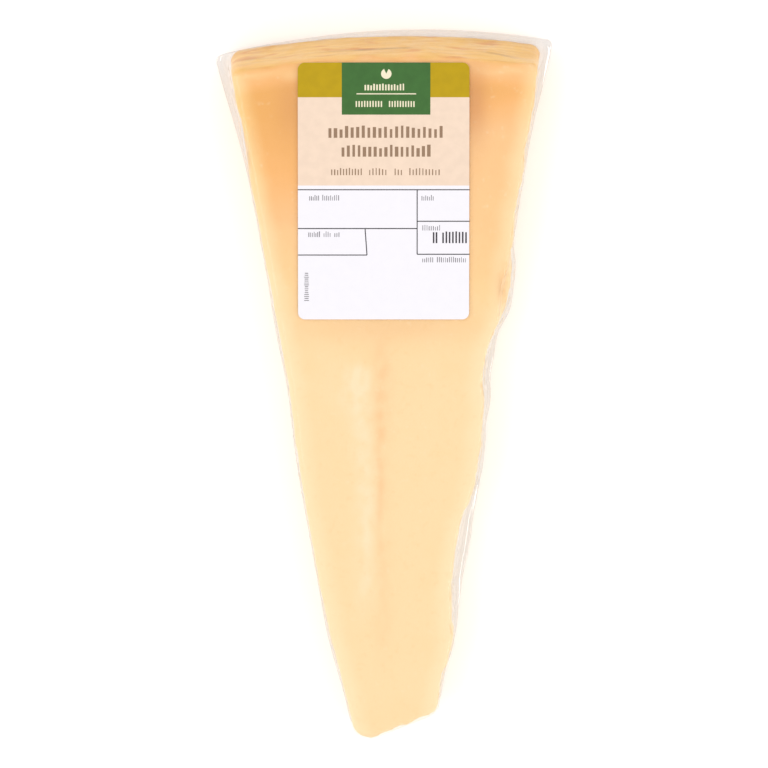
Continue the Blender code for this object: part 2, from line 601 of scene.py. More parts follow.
class GeometryTree(Graph):
    """A Geometry Nodes tree with named inputs, whose result becomes a plain mesh."""

    def __init__(self, name: str, sizes: dict[str, float]) -> None:
        """Starts the tree.

        Args:
            name: the tree's name.
            sizes: each named size and its default.
        """
        self.group = bpy.data.node_groups.new(name, "GeometryNodeTree")
        super().__init__(self.group)
        sockets = self.group.interface
        sockets.new_socket("Geometry", in_out="INPUT", socket_type="NodeSocketGeometry")
        sockets.new_socket("Geometry", in_out="OUTPUT", socket_type="NodeSocketGeometry")
        for label, value in sizes.items():
            socket = sockets.new_socket(label, in_out="INPUT", socket_type="NodeSocketFloat")
            socket.default_value = value
        sockets.new_socket("Finish", in_out="INPUT", socket_type="NodeSocketMaterial")
        self.given = self.add("NodeGroupInput").outputs

    def finish(self, geometry: bpy.types.NodeSocket) -> "GeometryTree":
        """Realizes what the tree makes and gives it its material.

        Args:
            geometry: the last geometry output.

        Returns:
            The tree.
        """
        real = self.add("GeometryNodeRealizeInstances", {"Geometry": geometry}).outputs[0]
        dressed = self.add("GeometryNodeSetMaterial", {"Geometry": real, "Material": self.given["Finish"]})
        self.add("NodeGroupOutput", {0: dressed.outputs[0]})
        return self

    def make(self, mesh: bpy.types.Mesh, name: str, values: dict[str, Any]) -> bpy.types.Object:
        """Runs the tree on a mesh.

        Args:
            mesh: what the tree starts from. It is removed afterwards.
            name: the new object's name.
            values: the value of each named input.

        Returns:
            A linked object with a plain mesh and no modifier.
        """
        carrier = bpy.data.objects.new(name + "_carrier", mesh)
        bpy.context.scene.collection.objects.link(carrier)
        modifier = carrier.modifiers.new("tree", "NODES")
        modifier.node_group = self.group
        for item in self.group.interface.items_tree:
            if item.in_out == "INPUT" and item.name in values:
                modifier[item.identifier] = values[item.name]
        bpy.context.view_layer.update()
        seen = carrier.evaluated_get(bpy.context.evaluated_depsgraph_get())
        made = bpy.data.meshes.new_from_object(seen)
        made.name = name
        bpy.data.objects.remove(carrier)
        bpy.data.meshes.remove(mesh)
        return linked(name, made)


def linked(name: str, mesh: bpy.types.Mesh) -> bpy.types.Object:
    """Puts a mesh in the scene, as a new object at the origin."""
    made = bpy.data.objects.new(name, mesh)
    bpy.context.scene.collection.objects.link(made)
    return made


def relief_tree() -> GeometryTree:
    """Makes the tree that gives a surface its relief, along its own outward direction.

    It reads three shares that the mesh holds: paste for fine grain, torn for flakes and rind for long
    streaks that run across the wedge. Most of the relief is sunk below the surface.

    Returns:
        The tree.
    """
    tree = GeometryTree(
        "surface_relief",
        {
            "Grain Size": 1.6 * MM, "Grain Depth": 0.06 * MM,
            "Flake Size": 3.5 * MM, "Flake Depth": 0.5 * MM,
            "Streak Size": 1.3 * MM, "Streak Length": 7.0, "Streak Depth": 0.5 * MM,
            "Seed": 3.0,
        },
    )
    given = tree.given
    sunk = 0.62
    place = tree.add("GeometryNodeInputPosition").outputs[0]
    squeeze = {"X": tree.math("DIVIDE", 1.0, given["Streak Length"]), "Y": 1.0, "Z": 1.0}
    squeezed = {0: place, 1: tree.add("ShaderNodeCombineXYZ", squeeze).outputs[0]}
    drawn = tree.add("ShaderNodeVectorMath", squeezed, operation="MULTIPLY").outputs[0]
    total = None
    for share, size, depth, where in (
        ("paste", "Grain Size", "Grain Depth", place),
        ("torn", "Flake Size", "Flake Depth", place),
        ("rind", "Streak Size", "Streak Depth", drawn),
    ):
        scale = tree.math("DIVIDE", 1.0, given[size])
        inputs = {"Vector": where, "W": given["Seed"], "Scale": scale, "Detail": 3.0, "Roughness": 0.55}
        lumps = tree.add("ShaderNodeTexNoise", inputs, noise_dimensions="4D").outputs[0]
        level = tree.math("SUBTRACT", lumps, sunk)
        held = tree.add("GeometryNodeInputNamedAttribute", {"Name": share}, data_type="FLOAT").outputs[0]
        push = tree.math("MULTIPLY", tree.math("MULTIPLY", level, given[depth]), held)
        total = push if total is None else tree.math("ADD", total, push)
    outward = tree.add("GeometryNodeInputNormal").outputs[0]
    offset = tree.add("ShaderNodeVectorMath", {0: outward, "Scale": total}, operation="SCALE").outputs[0]
    moved = tree.add("GeometryNodeSetPosition", {"Geometry": given["Geometry"], "Offset": offset})
    return tree.finish(moved.outputs[0])


def rule_tree() -> GeometryTree:
    """Makes the tree that turns the edges of a mesh into printed rules with square ends.

    Returns:
        The tree.
    """
    tree = GeometryTree("printed_rules", {"Line Width": 0.25 * MM, "Ink Height": 0.02 * MM})
    given = tree.given
    path = tree.add("GeometryNodeMeshToCurve", {"Mesh": given["Geometry"]})
    sizes = {"Width": given["Line Width"], "Height": given["Ink Height"]}
    section = tree.add("GeometryNodeCurvePrimitiveQuadrilateral", sizes)
    swept = tree.add(
        "GeometryNodeCurveToMesh",
        {"Curve": path.outputs[0], "Profile Curve": section.outputs[0], "Fill Caps": True},
    )
    return tree.finish(swept.outputs[0])


def mark_tree() -> GeometryTree:
    """Makes the tree that stands a small upright bar of ink on each point, uneven in width and height.

    Returns:
        The tree.
    """
    sizes = {"Mark Width": 1.2 * MM, "Mark Height": 3.0 * MM, "Ink Height": 0.02 * MM}
    tree = GeometryTree("printed_marks", {**sizes, "Unevenness": 0.3, "Seed": 5.0})
    given = tree.given
    block = tree.add("GeometryNodeMeshCube", {"Size": (1.0, 1.0, 1.0)})
    block = tree.add("GeometryNodeTransform", {"Geometry": block.outputs[0], "Translation": (0.0, 0.5, 0.0)})
    least = tree.math("SUBTRACT", 1.0, given["Unevenness"])
    spans = {"Z": given["Ink Height"]}
    for axis, size, seed in (
        ("X", "Mark Width", given["Seed"]),
        ("Y", "Mark Height", tree.math("ADD", given["Seed"], 11.0)),
    ):
        whole = tree.add("FunctionNodeFloatToInt", {0: seed}).outputs[0]
        inputs = {2: least, 3: 1.0, "Seed": whole}
        share = tree.add("FunctionNodeRandomValue", inputs, data_type="FLOAT").outputs[1]
        spans[axis] = tree.math("MULTIPLY", share, given[size])
    scale = tree.add("ShaderNodeCombineXYZ", spans)
    placed = tree.add(
        "GeometryNodeInstanceOnPoints",
        {"Points": given["Geometry"], "Instance": block.outputs[0], "Scale": scale.outputs[0]},
    )
    return tree.finish(placed.outputs[0])


# --- Finishes ---------------------------------------------------------------------------------------


@dataclass(frozen=True)
class CheeseFinish:
    """Straw-coloured paste, deeper tan towards the rind, with a rough streaked rind."""

    paste: Color = srgb(247, 212, 161)
    paste_low_tan: Color = srgb(247, 203, 143)
    paste_mid_tan: Color = srgb(243, 189, 129)
    paste_high_tan: Color = srgb(241, 177, 105)
    paste_full_tan: Color = srgb(228, 164, 80)
    # brown also paints the shadow in the dimple at the lobe.
    brown: Color = srgb(202, 136, 84)
    # The pale rim colours paint highlights along the face's sides and below the rind, and also give the
    # rind's pale mottle.
    rim_pale_and_highlight: Color = srgb(248, 221, 175)
    rim_tan_and_highlight: Color = srgb(247, 202, 130)
    crease: Color = srgb(243, 194, 140)
    streak: Color = srgb(249, 220, 178)
    pit: Color = srgb(232, 184, 122)
    rind_light: Color = srgb(241, 192, 108)
    rind_mid: Color = srgb(231, 178, 92)
    rind_dark: Color = srgb(222, 150, 70)
    crack: Color = srgb(166, 112, 62)
    cloud_share: float = 0.16
    pore_share: float = 0.30
    grain_share: float = 0.08
    pit_share: float = 0.65
    fleck_share: float = 0.6
    least_rough: float = 0.42
    rough_spread: float = 0.2

    def make(self) -> bpy.types.Material:
        """Makes the material, which reads the shares that the cheese's mesh holds.

        Returns:
            The material.
        """
        graph = ShaderGraph("cheese_paste")
        cloud = graph.lumps(9 * MM, 3.0)
        fine = graph.lumps(1.6 * MM, 4.0)
        uneven = graph.math("MULTIPLY", cloud, self.cloud_share)
        tan = graph.math("SUBTRACT", graph.math("ADD", graph.attribute("tan"), uneven), self.cloud_share / 2)
        color = graph.ramp(
            tan,
            {
                0.0: self.paste, 0.25: self.paste_low_tan, 0.5: self.paste_mid_tan,
                0.75: self.paste_high_tan, 1.0: self.paste_full_tan,
            },
        )
        # Brown patches, and the painted shadow in the dimple at the lobe.
        color = graph.mix(graph.attribute("brown"), color, self.brown)
        # Painted highlights along the sides and below the rind, and the rind's pale mottle.
        rim = graph.mix(graph.math("POWER", tan, 1.5), self.rim_pale_and_highlight, self.rim_tan_and_highlight)
        color = graph.mix(graph.attribute("rim"), color, rim)
        color = graph.mix(graph.attribute("crease"), color, self.crease)
        color = graph.mix(graph.attribute("streak"), color, self.streak)
        pores = graph.math("MULTIPLY", graph.window(fine, 0.60, 0.78), self.pore_share)
        color = graph.mix(pores, color, self.streak)
        grain = graph.math("MULTIPLY", graph.window(fine, 0.44, 0.26), self.grain_share)
        color = graph.mix(grain, color, self.paste_full_tan)
        crumb = graph.lumps(1.7 * MM, 7.0, (1.0, 1.6, 0.8))
        broken = graph.attribute("torn")
        pits = graph.math("MULTIPLY", graph.window(crumb, 0.54, 0.26), broken)
        color = graph.mix(graph.math("MULTIPLY", pits, self.pit_share), color, self.pit)
        flecks = graph.math("MULTIPLY", graph.window(crumb, 0.55, 0.78), broken)
        color = graph.mix(graph.math("MULTIPLY", flecks, self.fleck_share), color, self.streak)
        rind = self._rind(graph)
        # Lets the pale rim, painted highlight and mottle, show over the rind.
        bare = graph.math("SUBTRACT", 1.0, graph.math("MULTIPLY", graph.attribute("rim"), 0.7))
        color = graph.mix(graph.math("MULTIPLY", graph.attribute("rind"), bare), color, rind)
        rough = graph.math("MULTIPLY_ADD", graph.window(fine, 0.2, 0.8), self.rough_spread, self.least_rough)
        shader = graph.add(
            "ShaderNodeBsdfPrincipled",
            {
                "Base Color": color,
                "Roughness": rough,
                "Specular IOR Level": 0.3,
                "Normal": graph.bump(graph.mix(broken, fine, crumb), 0.3 * MM, 0.6),
            },
        )
        return graph.finish(shader)

    def _rind(self, graph: ShaderGraph) -> bpy.types.NodeSocket:
        """Makes the rind's colour: long streaks along the arc, broken by darker patches and a crack.

        Args:
            graph: the material's graph.

        Returns:
            The colour's output.
        """
        streaks = graph.lumps(1.5 * MM, 4.0, (7, 3, 1))
        blotch = graph.lumps(5 * MM, 2.0, (2.2, 1, 0.6))
        color = graph.mix(graph.window(streaks, 0.36, 0.62), self.rind_mid, self.rind_light)
        color = graph.mix(graph.window(blotch, 0.56, 0.70), color, self.rind_dark)
        return graph.mix(graph.attribute("crack"), color, self.crack)


@dataclass(frozen=True)
class FilmFinish:
    """Clear glossy film: what it doesn't mirror shows through."""

    tint: Color = (0.99, 0.988, 0.987, 1.0)
    haze: Color = srgb(246, 243, 243)
    roughness: float = 0.09
    face_sheen: float = 0.030
    edge_sheen: float = 0.5
    weld_tint: Color = (0.90, 0.888, 0.878, 1.0)
    weld_window: tuple[float, float] = (0.02, 0.2)

    def make(self) -> bpy.types.Material:
        """Makes the material.

        Returns:
            The material.
        """
        graph = ShaderGraph("clear_film")
        ripple = graph.lumps(2.2 * MM, 2.0, (1, 1, 1))
        normal = graph.bump(ripple, 0.04 * MM, 0.35)
        slant = graph.add("ShaderNodeLayerWeight", {"Blend": 0.5, "Normal": normal}).outputs["Facing"]
        mirror = graph.math("MULTIPLY", graph.math("POWER", slant, 5.0), self.edge_sheen)
        mirror = graph.math("ADD", mirror, self.face_sheen)
        # The haze is milky film at the weld, and a painted highlight along the left rim.
        haze = graph.attribute("haze")
        share = graph.math("ADD", mirror, haze)
        path = graph.add("ShaderNodeLightPath").outputs
        lit_through = graph.math("MAXIMUM", path["Is Shadow Ray"], path["Is Diffuse Ray"])
        share = graph.math("MULTIPLY", share, graph.math("SUBTRACT", 1.0, lit_through))
        tint = graph.mix(graph.window(haze, *self.weld_window), self.tint, self.weld_tint)
        clear = graph.add("ShaderNodeBsdfTransparent", {"Color": tint})
        gloss = graph.add(
            "ShaderNodeBsdfPrincipled",
            {
                "Base Color": self.haze,
                "Metallic": 0.5,
                "Roughness": self.roughness,
                "Normal": normal,
            },
        )
        mixed = graph.add("ShaderNodeMixShader", {0: share, 1: clear.outputs[0], 2: gloss.outputs[0]})
        return graph.finish(mixed)


class Ink(Enum):
    """The label's papers and inks, each with its colour and how much that varies."""

    PAPER = ("label_paper", srgb(238, 235, 240), 0.008)
    BEIGE = ("print_beige", srgb(238, 213, 191), 0.030)
    OLIVE = ("print_olive", srgb(186, 154, 0), 0.040)
    GREEN = ("print_green", srgb(63, 108, 50), 0.060)
    CREAM = ("print_cream", srgb(238, 228, 198), 0.020)
    BROWN = ("print_brown", srgb(150, 122, 98), 0.030)
    GREY = ("print_grey", srgb(120, 116, 122), 0.030)
    BLACK = ("print_black", srgb(62, 58, 64), 0.030)

    def make(self) -> bpy.types.Material:
        """Makes this paper or ink's material, with faint mottling and paper grain.

        Returns:
            The material.
        """
        name, color, spread = self.value
        graph = ShaderGraph(name)
        mottle = graph.window(graph.lumps(2.4 * MM, 4.0), 0.25, 0.75)
        darker = tuple(channel * (1 - 2 * spread) for channel in color[:3]) + (1.0,)
        fibre = graph.lumps(0.35 * MM, 2.0, (2.5, 1, 1))
        rough = graph.math("MULTIPLY_ADD", fibre, 0.15, 0.42)
        shader = graph.add(
            "ShaderNodeBsdfPrincipled",
            {
                "Base Color": graph.mix(mottle, darker, color),
                "Roughness": rough,
                "Specular IOR Level": 0.25,
                "Normal": graph.bump(fibre, 0.02 * MM, 0.3),
            },
        )
        return graph.finish(shader)


@dataclass(frozen=True)
class FloorFinish:
    """A plain pale studio floor."""

    color: Color = (0.97, 0.97, 0.97, 1.0)
    glow: float = 0.1

    def make(self) -> bpy.types.Material:
        """Makes the material.

        Returns:
            The material.
        """
        graph = ShaderGraph("studio_floor")
        soft = graph.window(graph.lumps(0.4, 2.0), 0.3, 0.7)
        darker = tuple(channel * 0.998 for channel in self.color[:3]) + (1.0,)
        shader = graph.add(
            "ShaderNodeBsdfPrincipled",
            {
                "Base Color": graph.mix(soft, darker, self.color),
                "Roughness": 0.85,
                "Specular IOR Level": 0.1,
                "Emission Color": (1.0, 1.0, 1.0, 1.0),
                "Emission Strength": self.glow,
            },
        )
        return graph.finish(shader)


# --- The pack's pieces ------------------------------------------------------------------------------


@dataclass
class Site:
    """Where the pack stands in the frame, and what its pieces share."""

    middle: tuple[float, float] = field(default_factory=lambda: WedgeForm().middle())

    def __post_init__(self) -> None:
        """Reads the frame's solids."""
        low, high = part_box("sealed_pack")
        self.place = ((low[0] + high[0]) / 2 - self.middle[0], (low[1] + high[1]) / 2 - self.middle[1])
        self.face_z = high[2]
        label_low, label_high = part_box("label")
        self.label_low = (label_low[0], label_low[1])
        self.label_high = (label_high[0], label_high[1])

    def under_label(self, points: Array, fade: float) -> Array:
        """Gives where the face lies under the label, which holds it flat.

        Args:
            points: points of the wedge, before they are placed.
            fade: how far beyond the label its hold reaches.

        Returns:
            1 under the label and 0 well away from it.
        """
        share = np.ones(len(points))
        for axis in (0, 1):
            value = points[:, axis] + self.place[axis]
            share *= rise(self.label_low[axis] - fade, self.label_low[axis], value)
            share *= rise(self.label_high[axis] + fade, self.label_high[axis], value)
        return share


def hold(mesh: bpy.types.Mesh, name: str, values: Array) -> None:
    """Stores a value for each point of a mesh, as a named attribute."""
    held = mesh.attributes.new(name, "FLOAT", "POINT")
    held.data.foreach_set("value", values.astype(np.float32))


def crease_line(y: Array) -> Array:
    """Gives the X of the rubbed crease that runs down the face."""
    return -0.5 * MM + 0.5 * MM * np.sin(y / (15 * MM))


@dataclass(frozen=True)
class BroadRelief:
    """The wedge's broad dents, which the film follows too."""

    bow: float = 0.5 * MM
    bow_size: float = 34 * MM
    ripple: float = 0.2 * MM
    ripple_size: float = 11 * MM
    groove_depth: float = 0.10 * MM
    groove_half: float = 3.2 * MM
    dimple: Spot = Spot(26 * MM, 14.6 * MM, 5 * MM, 2.4 * MM, 2.0 * MM)
    dent: float = 1.2 * MM
    dent_size: float = 10 * MM
    dent_sink: float = 0.2 * MM
    left_share: float = 0.4
    tip_share: float = 0.3

    def out(self, skin: Skin, site: Site) -> Array:
        """Works out how far each point is pushed.

        Args:
            skin: the surface to shape.
            site: where the pack stands.

        Returns:
            The distance out, or in if below 0, for each point.
        """
        points = skin.points
        x, y, z = points.T
        up = np.clip(skin.normals()[:, 2], 0, 1)
        on_face = rise(0.6, 0.95, up) * (1 - site.under_label(points, 6 * MM))
        bow = self.bow * wander(points, self.bow_size, 1) + self.ripple * wander(points, self.ripple_size, 2)
        run = rise(14 * MM, 2 * MM, y) * rise(-76 * MM, -60 * MM, y)
        groove = self.groove_depth * band(x, crease_line(y), self.groove_half) * run
        dimple = self.dimple.at(y, z) * rise(0.96, 0.995, skin.u)
        walls = (1 - rise(0.3, 0.8, up)) * rise(1.2 * MM, 4 * MM, z)
        broken = self.left_share + (1 - self.left_share) * rise(0.4, 0.6, skin.u)
        broken *= 1 - (1 - self.tip_share) * rise(-81 * MM, -87 * MM, y)
        dents = walls * broken * (self.dent * wander(points, self.dent_size, 3) - self.dent_sink)
        return on_face * (bow - groove) - dimple + dents


@dataclass
class CheeseLook:
    """Where the wedge is tan, brown, pale, creased, torn or rind, and where highlights and a shadow are
    painted, worked out at each of its points.
    """

    skin: Skin
    left_tan: tuple[tuple[float, float], ...] = (
        (-3, 0.0), (9, 0.05), (21, 0.14), (32, 0.26), (44, 0.44), (55, 0.66), (67, 0.84), (80, 1.0),
    )
    right_tan: tuple[tuple[float, float], ...] = (
        (-3, 0.0), (9, 0.05), (21, 0.18), (32, 0.29), (44, 0.38), (55, 0.41), (67, 0.48), (80, 0.94),
    )
    browns: tuple[Spot, ...] = (
        Spot(23.5 * MM, 76 * MM, 3.2 * MM, 10 * MM, 0.62),
        Spot(-24 * MM, 75 * MM, 4 * MM, 9 * MM, 0.34),
        Spot(1 * MM, 17 * MM, 22 * MM, 4 * MM, 0.17),
    )
    lobe: Spot = Spot(32.6 * MM, 27 * MM, 2.6 * MM, 7 * MM)
    lobe_tan: float = 0.4
    # Painted shadow in the dimple beside the lobe.
    scoop_shadow: Spot = Spot(30.6 * MM, 26 * MM, 1.0 * MM, 3.6 * MM, 0.85)
    scoop_shadow_lean: float = 0.08
    # Where the painted highlight in the band below the rind breaks off.
    ridge_highlight_gap: Spot = Spot(26 * MM, 86 * MM, 8 * MM, 8 * MM, 0.6)
    pale_patch: Spot = Spot(-8.5 * MM, 1 * MM, 4.4 * MM, 5 * MM, 0.8)
    # How far in from the sides the painted edge highlight reaches.
    rim_highlight_reach: float = 6.2 * MM
    crack_height: float = 12.1 * MM

    def __post_init__(self) -> None:
        """Measures the skin before its relief."""
        form, self.points = self.skin.form, self.skin.points
        self.x, self.y, self.z = self.points.T
        self.normals = self.skin.normals()
        face = Level(form.face_height)
        from_left = self.x - form.left(self.y, face)
        from_right = form.right(self.y, face) - self.x
        self.from_side = np.minimum(from_left, from_right)
        self.from_rind = form.rind(self.x, face) - self.y
        self.ragged = self.from_rind + 3.0 * MM * self._noise(3.4 * MM, 10, (0.6, 1.0, 1.0))
        self.rind = rise(1.6 * MM, -0.6 * MM, self.ragged)
        self.on_face = rise(0.5, 0.9, self.normals[:, 2])
        self.on_lobe = self.lobe.at(self.x, self.y) * rise(11 * MM, 17 * MM, self.z)

    def shares(self) -> dict[str, Array]:
        """Gives each share, from 0 to 1, by the name that the mesh holds it under.

        Returns:
            The shares by name.
        """
        found = {
            "tan": self._tan(),
            "brown": self._brown_and_scoop_shadow(),
            "rim": self._highlights_and_mottle(),
            "crease": self._crease(),
            "streak": self._streak(),
            "rind": self.rind,
            "crack": self._crack(),
            "torn": self._torn(),
            "paste": self.on_face,
        }
        return {name: np.clip(values, 0, 1) for name, values in found.items()}

    def _noise(self, size: float, seed: float, squeeze: tuple[float, float, float]) -> Array:
        """Gives noise whose lumps are drawn out where squeeze is below 1."""
        return wander(self.points * np.array(squeeze), size, seed)

    def _patchy(
        self, base: float, gain: float, size: float, seed: float, squeeze: tuple[float, float, float]
    ) -> Array:
        """Gives noise round a base, held between 0 and 1."""
        return np.clip(base + gain * self._noise(size, seed, squeeze), 0, 1)

    def _tan(self) -> Array:
        """Works out how tan the paste is: deepest under the rind, and deeper on the left than the right.

        Returns:
            A share for each point.
        """
        sides = []
        for steps in (self.left_tan, self.right_tan):
            places, values = zip(*steps)
            sides.append(np.interp(self.y, np.array(places) * MM, values))
        side = rise(-22 * MM, 22 * MM, self.x)
        tan = sides[0] * (1 - side) + sides[1] * side
        tan += 0.16 * wander(self.points, 22 * MM, 12) * rise(0, 40 * MM, self.y)
        tan *= 1 - 0.30 * rise(9.0 * MM, 3.5 * MM, self.from_rind)
        return tan + self.lobe_tan * self.on_lobe

    def _brown_and_scoop_shadow(self) -> Array:
        """Works out the brown patches, and the painted shadow in the dimple at the lobe."""
        brown = sum(spot.at(self.x, self.y) for spot in self.browns)
        # Painted shadow in the dimple at the lobe.
        scoop_shadow = self.scoop_shadow.at(self.x + self.scoop_shadow_lean * (self.y - self.scoop_shadow.y), self.y)
        return (brown + scoop_shadow) * self.on_face

    def _highlights_and_mottle(self) -> Array:
        """Works out the pale rims: painted highlights along both sides and in a ragged band below the rind,
        and pale mottle on the rind.

        Returns:
            A share for each point.
        """
        edge = self.from_side + 1.6 * MM * wander(self.points, 7 * MM, 11)
        # Painted highlight along both sides, where the face rounds over.
        rim = 0.9 * rise(self.rim_highlight_reach, 0.4 * MM, edge) * (1 - 0.5 * self.rind) * (1 - self.on_lobe)
        # Painted highlight in a ragged band below the rind.
        ridge_highlight = band(self.ragged, 2.6 * MM, 1.3 * MM)
        ridge_highlight *= self._patchy(0.7, 1.6, 3.5 * MM, 18, (0.4, 1.0, 1.0))
        ridge_highlight *= 1 - self.ridge_highlight_gap.at(self.x, self.y)
        mottle = self.rind * rise(11 * MM, 16.5 * MM, self.z)
        mottle *= self._patchy(0.15, 1.9, 3.0 * MM, 20, (0.45, 1.0, 1.0))
        return np.maximum(np.maximum(rim, 0.65 * ridge_highlight), 0.9 * mottle)

    def _crease(self) -> Array:
        """Works out the tan crease down the face: wide near the label, with a fine dark line lower down.

        Returns:
            A share for each point.
        """
        y = self.y
        run = rise(19 * MM, 9 * MM, y) * rise(-78 * MM, -60 * MM, y)
        middle = crease_line(y) + 1.2 * MM * wander(self.points, 7 * MM, 13)
        wide = band(self.x, middle, 2.9 * MM) * (0.34 + 0.34 * rise(-16 * MM, -4 * MM, y))
        fine = band(self.x, middle, 1.0 * MM) * band(y, -22 * MM, 20 * MM)
        broken = self._patchy(0.75, 1.6, 2.2 * MM, 19, (1.0, 0.6, 1.0))
        return self.on_face * run * broken * (wide + 0.6 * fine)

    def _streak(self) -> Array:
        """Works out the pale rub to the left of the crease.

        Returns:
            A share for each point.
        """
        y = self.y
        middle = -4.6 * MM - 1.6 * MM * rise(-34 * MM, 2 * MM, y) + 1.2 * MM * wander(self.points, 6 * MM, 14)
        run = rise(9 * MM, 4 * MM, y) * rise(-66 * MM, -44 * MM, y)
        streak = band(self.x, middle, 2.7 * MM) * run + self.pale_patch.at(self.x, y)
        return streak * (self.on_face * self._patchy(0.7, 1.4, 2.1 * MM, 15, (1.0, 0.7, 1.0)))

    def _crack(self) -> Array:
        """Works out the drying crack that runs along the rind's outer side.

        Returns:
            A share for each point.
        """
        drawn = (0.25, 1.0, 1.0)
        seam = self.crack_height + 0.04 * self.x + 1.2 * MM * self._noise(5 * MM, 16, drawn)
        line = rise(-9 * MM, -6 * MM, self.x) * rise(9 * MM, 5 * MM, self.x)
        open_share = self._patchy(0.05, 1.6, 3.2 * MM, 17, drawn) + 0.8 * line
        return self.rind * band(self.z, seam, 0.55 * MM) * open_share

    def _torn(self) -> Array:
        """Works out how torn the walls are, more on the right and at the tip than on the left."""
        torn = (1 - self.on_face) * (1 - self.rind) * rise(0.8 * MM, 2.5 * MM, self.z)
        return torn * (0.3 + 0.7 * rise(-0.2, 0.3, self.normals[:, 0] - self.normals[:, 1]))


@dataclass
class CheeseWedge:
    """The wedge itself: cut face, torn sides, crumbly broken edge and rough rind."""

    site: Site
    clearance: float = 0.32 * MM
    foot: float = 0.3 * MM
    across: int = 96
    along: int = 250
    wall_steps: int = 22
    rim_steps: int = 7
    notch: Swell = Swell(67 * MM, 4.2 * MM, 1.0 * MM)

    def build(self, relief: GeometryTree) -> bpy.types.Object:
        """Builds the wedge.

        Args:
            relief: the tree that gives it its fine relief.

        Returns:
            The wedge's object.
        """
        form = WedgeForm(inward=self.clearance)
        rim = form.rim_levels(self.rim_steps)
        foot = [Level(self.foot, 0.0, 0.35), Level(self.foot + 0.35 * MM, 0.0, 0.1)]
        heights = np.linspace(self.foot + 1.0 * MM, rim[0].height, self.wall_steps)
        levels = foot + [Level(float(height)) for height in heights[:-1]] + rim
        skin = Skin(form, levels, self.across, self.along)
        shares = CheeseLook(skin).shares()
        on_left = rise(6 * MM, 9 * MM, skin.points[:, 2]) * rise(0.04, 0.01, skin.u)
        skin.push(BroadRelief().out(skin, self.site) - self.notch.at(skin.points[:, 1]) * on_left)
        mesh = skin.mesh("cheese_wedge", self.site.place)
        for name, values in shares.items():
            hold(mesh, name, values)
        values = {
            "Grain Size": 1.5 * MM, "Grain Depth": 0.10 * MM,
            "Flake Size": 4.2 * MM, "Flake Depth": 2.2 * MM,
            "Streak Size": 1.4 * MM, "Streak Length": 7.0, "Streak Depth": 0.9 * MM,
            "Seed": 3.0, "Finish": CheeseFinish().make(),
        }
        wedge = relief.make(mesh, "cheese_wedge", values)
        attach(wedge, BODY)
        return wedge


@dataclass
class FilmSkin:
    """The clear film: drawn tight over the wedge, and welded round its foot."""

    site: Site
    across: int = 110
    along: int = 270
    rim_steps: int = 6
    wall: tuple[tuple[float, float], ...] = (
        (0.06, 0.9), (0.18, 0.97), (0.35, 1.0), (0.5, 0.97), (0.62, 0.88), (0.78, 0.72), (1.15, 0.52),
        (1.7, 0.38), (2.4, 0.28), (3.4, 0.2), (4.6, 0.13), (6.0, 0.08), (7.6, 0.04), (9.4, 0.02),
        (11.2, 0.0), (12.8, 0.0), (14.2, 0.0), (15.4, 0.0),
    )
    pleat_depth: float = 0.42 * MM
    pull_height: float = 0.07 * MM
    pull_reach: float = 15 * MM
    pulled_corners: tuple[tuple[float, float], ...] = ((-38, 84), (39, 87), (-5, -88), (12, -84))
    weld_haze: float = 0.26
    # Milky gathered film at the left rim, which also paints a highlight there.
    gather_haze_and_highlight: float = 0.38

    def build(self, relief: GeometryTree) -> bpy.types.Object:
        """Builds the film as one closed skin.

        Args:
            relief: the tree that gives it its ripples.

        Returns:
            The film's object.
        """
        form = WedgeForm()
        wall = [Level(height * MM, film) for height, film in self.wall]
        skin = Skin(form, wall + form.rim_levels(self.rim_steps), self.across, self.along)
        skin.push(BroadRelief().out(skin, self.site) + self._pull(skin))
        mesh = skin.mesh("film_skin", self.site.place)
        hold(mesh, "haze", self._haze(skin))
        values = {"Grain Depth": 0.0, "Flake Depth": 0.0, "Streak Depth": 0.0, "Finish": FilmFinish().make()}
        film = relief.make(mesh, "film_skin", values)
        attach(film, BODY)
        return film

    def _pull(self, skin: Skin) -> Array:
        """Works out the film's own gathers: pleats down its walls and fine pulls from its corners.

        Args:
            skin: the film's surface.

        Returns:
            The distance out for each point.
        """
        x, y, z = skin.points.T
        wall = rise(0.7 * MM, 2.5 * MM, z) * rise(17.5 * MM, 11 * MM, z)
        pleat = 1 - np.abs(wander(np.column_stack([x, y, z * 0.12]), 3.4 * MM, 21)) * 4
        pleats = self.pleat_depth * wall * np.clip(pleat, 0, 1) ** 3
        up = np.clip(skin.normals()[:, 2], 0, 1)
        free = rise(0.8, 0.98, up) * (1 - self.site.under_label(skin.points, 4 * MM)) * (z > 10 * MM)
        pulls = np.zeros(len(x))
        for corner_x, corner_y in self.pulled_corners:
            aside, along = x - corner_x * MM, y - corner_y * MM
            away = np.hypot(aside, along)
            angle = np.arctan2(along, aside)
            rays = np.column_stack([np.cos(angle) * 4, np.sin(angle) * 4, away * 12])
            pulls += band(away, 0.0, self.pull_reach) * np.clip(wander(rays, 0.22, 22) * 2, 0, 1)
        return pleats + self.pull_height * free * pulls

    def _haze(self, skin: Skin) -> Array:
        """Works out where the film looks milky: along its welded edge, and in a strip at its left rim that
        also paints a highlight there.

        Args:
            skin: the film's surface.

        Returns:
            The haze for each point.
        """
        x, y, z = skin.points.T
        weld = rise(5.0 * MM, 0.5 * MM, z) * rise(-0.1 * MM, 0.3 * MM, z) * self.weld_haze
        weld *= np.clip(0.9 + 0.5 * wander(skin.points, 7 * MM, 23), 0, 1)
        from_left = x - skin.form.left(y, Level(skin.form.face_height))
        # Milky gathered film along the left rim, which also paints the highlight there.
        gather_and_highlight = self.gather_haze_and_highlight * band(from_left, 0.7 * MM, 0.5 * MM) * band(y, 64 * MM, 5 * MM)
        return np.maximum(weld, gather_and_highlight * rise(9 * MM, 13 * MM, z))


